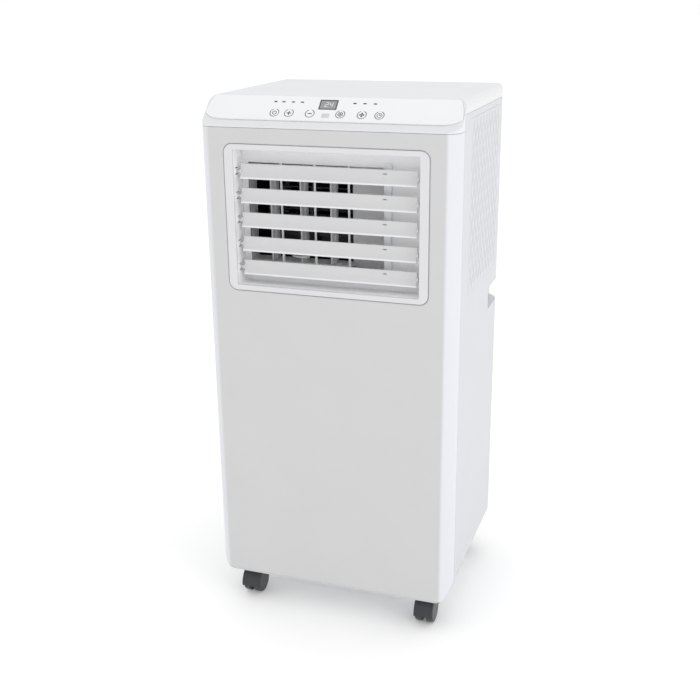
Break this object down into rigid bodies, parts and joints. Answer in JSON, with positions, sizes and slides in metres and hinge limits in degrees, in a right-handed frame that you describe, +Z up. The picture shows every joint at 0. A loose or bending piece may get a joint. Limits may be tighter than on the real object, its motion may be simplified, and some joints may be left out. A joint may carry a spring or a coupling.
{
  "type": "portable air conditioner",
  "caption": "Free-standing room air conditioner: louvred front outlet, sloped control strip, rear filter and exhaust collar, swivel casters.",
  "frame": {"origin": "on the floor under the middle of the case", "axes": "+X to the right of someone who faces the front, +Y from the front face to the back, +Z up"},
  "size_m": [0.33, 0.285, 0.7],
  "materials": {
    "case_white": "fine satin moulded white",
    "case_face": "fine satin moulded off-white",
    "rear_white": "fine texture",
    "strip_gloss": "polished white",
    "key_white": "satin white keys",
    "display_smoke": "smoked clear window",
    "lens_dark": "small tinted lenses",
    "receiver_smoke": "smoked clear window",
    "board_green": "solder mask",
    "louver_white": "satin",
    "duct_grey": "satin",
    "inner_white": "moulded",
    "impeller_grey": "moulded",
    "motor_steel": "zinc plated and lacquered",
    "coil_fins": "thin fins",
    "filter_grey": "moulded",
    "filter_mesh": "woven nylon screen",
    "soft_rubber": "matt",
    "screw_steel": "zinc plated",
    "compressor_black": "semi-gloss black",
    "pipe_copper": "drawn copper",
    "box_steel": "galvanised",
    "pan_white": "moulded",
    "caster_grey": "moulded nylon",
    "wheel_grey": "moulded nylon"
  },
  "bodies": {
    "root": {"top_cover": "case_white", "side_panel_left": "case_white", "side_panel_right": "case_white", "front_panel": "case_face", "rear_panel": "rear_white", "lower_grille": "rear_white", "exhaust_collar": "rear_white", "control_strip": "strip_gloss", "display_window": "display_smoke", "indicator_lenses": "lens_dark", "receiver_window": "receiver_smoke", "control_board": "board_green", "louver_frame": "louver_white", "guard_grille": "duct_grey", "outlet_duct": "duct_grey", "blower_housing": "inner_white", "fan_housing": "inner_white", "drip_deck": "inner_white", "blower_motor": "motor_steel", "fan_motor": "motor_steel", "evaporator": "coil_fins", "condenser": "coil_fins", "compressor_grommets": "soft_rubber", "cord_gland": "soft_rubber", "rear_screws": "screw_steel", "compressor": "compressor_black", "refrigerant_pipes": "pipe_copper", "electrical_box": "box_steel", "base_pan": "pan_white"},
    "button_power": {"button_power": "key_white"},
    "button_up": {"button_up": "key_white"},
    "button_down": {"button_down": "key_white"},
    "button_mode": {"button_mode": "key_white"},
    "button_fan": {"button_fan": "key_white"},
    "button_timer": {"button_timer": "key_white"},
    "slat_1": {"slat_1": "louver_white"},
    "slat_2": {"slat_2": "louver_white"},
    "slat_3": {"slat_3": "louver_white"},
    "slat_4": {"slat_4": "louver_white"},
    "slat_5": {"slat_5": "louver_white"},
    "tie_bar": {"tie_bar": "louver_white"},
    "vane_1": {"vane_1": "duct_grey"},
    "vane_2": {"vane_2": "duct_grey"},
    "vane_3": {"vane_3": "duct_grey"},
    "vane_link": {"vane_link": "duct_grey"},
    "blower_wheel": {"blower_wheel": "impeller_grey"},
    "fan_wheel": {"fan_wheel": "impeller_grey"},
    "filter": {"filter_door": "rear_white", "filter_frame": "filter_grey", "filter_mesh": "filter_mesh"},
    "upper_drain_plug": {"upper_drain_plug": "soft_rubber"},
    "lower_drain_plug": {"lower_drain_plug": "soft_rubber"},
    "caster_front_left": {"caster_hood_front_left": "caster_grey"},
    "wheels_front_left": {"caster_wheels_front_left": "wheel_grey"},
    "caster_front_right": {"caster_hood_front_right": "caster_grey"},
    "wheels_front_right": {"caster_wheels_front_right": "wheel_grey"},
    "caster_rear_left": {"caster_hood_rear_left": "caster_grey"},
    "wheels_rear_left": {"caster_wheels_rear_left": "wheel_grey"},
    "caster_rear_right": {"caster_hood_rear_right": "caster_grey"},
    "wheels_rear_right": {"caster_wheels_rear_right": "wheel_grey"}
  },
  "joints": [
    {"name": "button_power_press", "type": "slide", "parent": "root", "child": "button_power", "axis": [0, 0.6947, -0.7193], "range_m": [0, 0.0005], "stiffness_N_per_m": 600},
    {"name": "button_up_press", "type": "slide", "parent": "root", "child": "button_up", "axis": [0, 0.6947, -0.7193], "range_m": [0, 0.0005], "stiffness_N_per_m": 600},
    {"name": "button_down_press", "type": "slide", "parent": "root", "child": "button_down", "axis": [0, 0.6947, -0.7193], "range_m": [0, 0.0005], "stiffness_N_per_m": 600},
    {"name": "button_mode_press", "type": "slide", "parent": "root", "child": "button_mode", "axis": [0, 0.6947, -0.7193], "range_m": [0, 0.0005], "stiffness_N_per_m": 600},
    {"name": "button_fan_press", "type": "slide", "parent": "root", "child": "button_fan", "axis": [0, 0.6947, -0.7193], "range_m": [0, 0.0005], "stiffness_N_per_m": 600},
    {"name": "button_timer_press", "type": "slide", "parent": "root", "child": "button_timer", "axis": [0, 0.6947, -0.7193], "range_m": [0, 0.0005], "stiffness_N_per_m": 600},
    {"name": "slat_1_tilt", "type": "hinge", "parent": "root", "child": "slat_1", "pos_m": [0, -0.1295, 0.61], "axis": [-1, 0, 0], "range_deg": [-15, 45]},
    {"name": "slat_2_tilt", "type": "hinge", "parent": "root", "child": "slat_2", "pos_m": [0, -0.1295, 0.5794], "axis": [-1, 0, 0], "range_deg": [-15, 45]},
    {"name": "slat_3_tilt", "type": "hinge", "parent": "root", "child": "slat_3", "pos_m": [0, -0.1295, 0.5488], "axis": [-1, 0, 0], "range_deg": [-15, 45]},
    {"name": "slat_4_tilt", "type": "hinge", "parent": "root", "child": "slat_4", "pos_m": [0, -0.1295, 0.5182], "axis": [-1, 0, 0], "range_deg": [-15, 45]},
    {"name": "slat_5_tilt", "type": "hinge", "parent": "root", "child": "slat_5", "pos_m": [0, -0.1295, 0.4876], "axis": [-1, 0, 0], "range_deg": [-15, 45]},
    {"name": "tie_bar_swing", "type": "hinge", "parent": "slat_3", "child": "tie_bar", "pos_m": [0.073, -0.12, 0.5518], "axis": [-1, 0, 0], "range_deg": [-45, 15]},
    {"name": "vane_1_turn", "type": "hinge", "parent": "root", "child": "vane_1", "pos_m": [-0.088, -0.0865, 0.55], "axis": [0, 0, 1], "range_deg": [-30, 30]},
    {"name": "vane_2_turn", "type": "hinge", "parent": "root", "child": "vane_2", "pos_m": [-0.0475, -0.0865, 0.55], "axis": [0, 0, 1], "range_deg": [-30, 30]},
    {"name": "vane_3_turn", "type": "hinge", "parent": "root", "child": "vane_3", "pos_m": [-0.007, -0.0865, 0.55], "axis": [0, 0, 1], "range_deg": [-30, 30]},
    {"name": "vane_link_swing", "type": "hinge", "parent": "vane_2", "child": "vane_link", "pos_m": [-0.0475, -0.0785, 0.605], "axis": [0, 0, 1], "range_deg": [-30, 30]},
    {"name": "blower_spin", "type": "hinge", "parent": "root", "child": "blower_wheel", "pos_m": [-0.053, 0.0095, 0.5505], "axis": [1, 0, 0], "continuous": true},
    {"name": "fan_spin", "type": "hinge", "parent": "root", "child": "fan_wheel", "pos_m": [0.045, 0, 0.178], "axis": [0, 1, 0], "continuous": true},
    {"name": "filter_pull", "type": "slide", "parent": "root", "child": "filter", "axis": [0, 1, 0], "range_m": [0, 0.03]},
    {"name": "upper_plug_pull", "type": "slide", "parent": "root", "child": "upper_drain_plug", "axis": [0, 1, 0], "range_m": [0, 0.02]},
    {"name": "lower_plug_pull", "type": "slide", "parent": "root", "child": "lower_drain_plug", "axis": [0, 1, 0], "range_m": [0, 0.02]},
    {"name": "caster_front_left_swivel", "type": "hinge", "parent": "root", "child": "caster_front_left", "pos_m": [-0.127, -0.1005, 0.04], "axis": [0, 0, 1], "continuous": true},
    {"name": "wheels_front_left_roll", "type": "hinge", "parent": "caster_front_left", "child": "wheels_front_left", "pos_m": [-0.127, -0.1095, 0.018], "axis": [1, 0, 0], "continuous": true},
    {"name": "caster_front_right_swivel", "type": "hinge", "parent": "root", "child": "caster_front_right", "pos_m": [0.127, -0.1005, 0.04], "axis": [0, 0, 1], "continuous": true},
    {"name": "wheels_front_right_roll", "type": "hinge", "parent": "caster_front_right", "child": "wheels_front_right", "pos_m": [0.127, -0.1095, 0.018], "axis": [1, 0, 0], "continuous": true},
    {"name": "caster_rear_left_swivel", "type": "hinge", "parent": "root", "child": "caster_rear_left", "pos_m": [-0.127, 0.1005, 0.04], "axis": [0, 0, 1], "continuous": true},
    {"name": "wheels_rear_left_roll", "type": "hinge", "parent": "caster_rear_left", "child": "wheels_rear_left", "pos_m": [-0.127, 0.0915, 0.018], "axis": [1, 0, 0], "continuous": true},
    {"name": "caster_rear_right_swivel", "type": "hinge", "parent": "root", "child": "caster_rear_right", "pos_m": [0.127, 0.1005, 0.04], "axis": [0, 0, 1], "continuous": true},
    {"name": "wheels_rear_right_roll", "type": "hinge", "parent": "caster_rear_right", "child": "wheels_rear_right", "pos_m": [0.127, 0.0915, 0.018], "axis": [1, 0, 0], "continuous": true}
  ],
  "couplings": [
    {"joint": "slat_1_tilt", "follows": "slat_3_tilt", "ratio": 1},
    {"joint": "slat_2_tilt", "follows": "slat_3_tilt", "ratio": 1},
    {"joint": "slat_4_tilt", "follows": "slat_3_tilt", "ratio": 1},
    {"joint": "slat_5_tilt", "follows": "slat_3_tilt", "ratio": 1},
    {"joint": "tie_bar_swing", "follows": "slat_3_tilt", "ratio": -1},
    {"joint": "vane_1_turn", "follows": "vane_2_turn", "ratio": 1},
    {"joint": "vane_3_turn", "follows": "vane_2_turn", "ratio": 1},
    {"joint": "vane_link_swing", "follows": "vane_2_turn", "ratio": -1}
  ]
}
